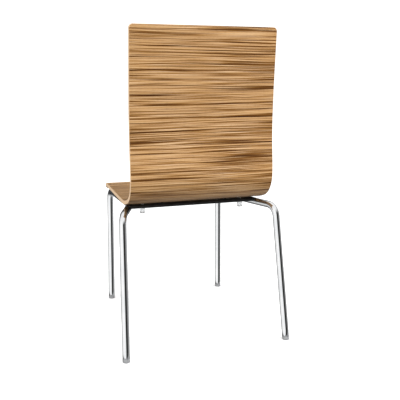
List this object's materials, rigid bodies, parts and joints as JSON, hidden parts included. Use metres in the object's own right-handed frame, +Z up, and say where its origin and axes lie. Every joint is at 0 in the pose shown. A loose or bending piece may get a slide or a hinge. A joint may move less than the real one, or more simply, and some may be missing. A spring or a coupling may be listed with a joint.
{
  "type": "stacking chair",
  "caption": "Armless stacking chair: one-piece bent plywood seat and back with striped veneer, on bent chromed tube legs joined by black cross rails.",
  "frame": {"origin": "on the floor, under the middle of the chair's bounding box", "axes": "+Z up, -Y the way the sitter faces, +X to the sitter's left"},
  "size_m": [0.5258, 0.5709, 0.957],
  "materials": {
    "veneered_plywood": "satin lacquered veneer with dark stripes across the width",
    "chromed_tube": "polished chrome",
    "black_steel": "satin black powder coat",
    "black_rubber": "matte",
    "zinc_steel": "bright zinc plate",
    "clear_plastic": "clear, slightly milky",
    "grey_plastic": "fine satin moulding"
  },
  "bodies": {
    "root": {"seat_shell": "veneered_plywood", "side_frame_left": "chromed_tube", "side_frame_right": "chromed_tube", "rear_cross_rail": "black_steel", "front_cross_rail": "black_steel", "rubber_spacer_rear_left": "black_rubber", "rubber_spacer_rear_right": "black_rubber", "rubber_spacer_front_left": "black_rubber", "rubber_spacer_front_right": "black_rubber", "threaded_insert_rear_left": "zinc_steel", "threaded_insert_rear_right": "zinc_steel", "threaded_insert_front_left": "zinc_steel", "threaded_insert_front_right": "zinc_steel", "washer_rear_left": "zinc_steel", "washer_rear_right": "zinc_steel", "washer_front_left": "zinc_steel", "washer_front_right": "zinc_steel", "screw_rear_left": "zinc_steel", "screw_rear_right": "zinc_steel", "screw_front_left": "zinc_steel", "screw_front_right": "zinc_steel", "stacking_bumper_rear_left": "clear_plastic", "stacking_bumper_rear_right": "clear_plastic", "stacking_bumper_front_left": "clear_plastic", "stacking_bumper_front_right": "clear_plastic", "foot_cap_rear_left": "grey_plastic", "foot_cap_rear_right": "grey_plastic", "foot_cap_front_left": "grey_plastic", "foot_cap_front_right": "grey_plastic"}
  },
  "joints": []
}
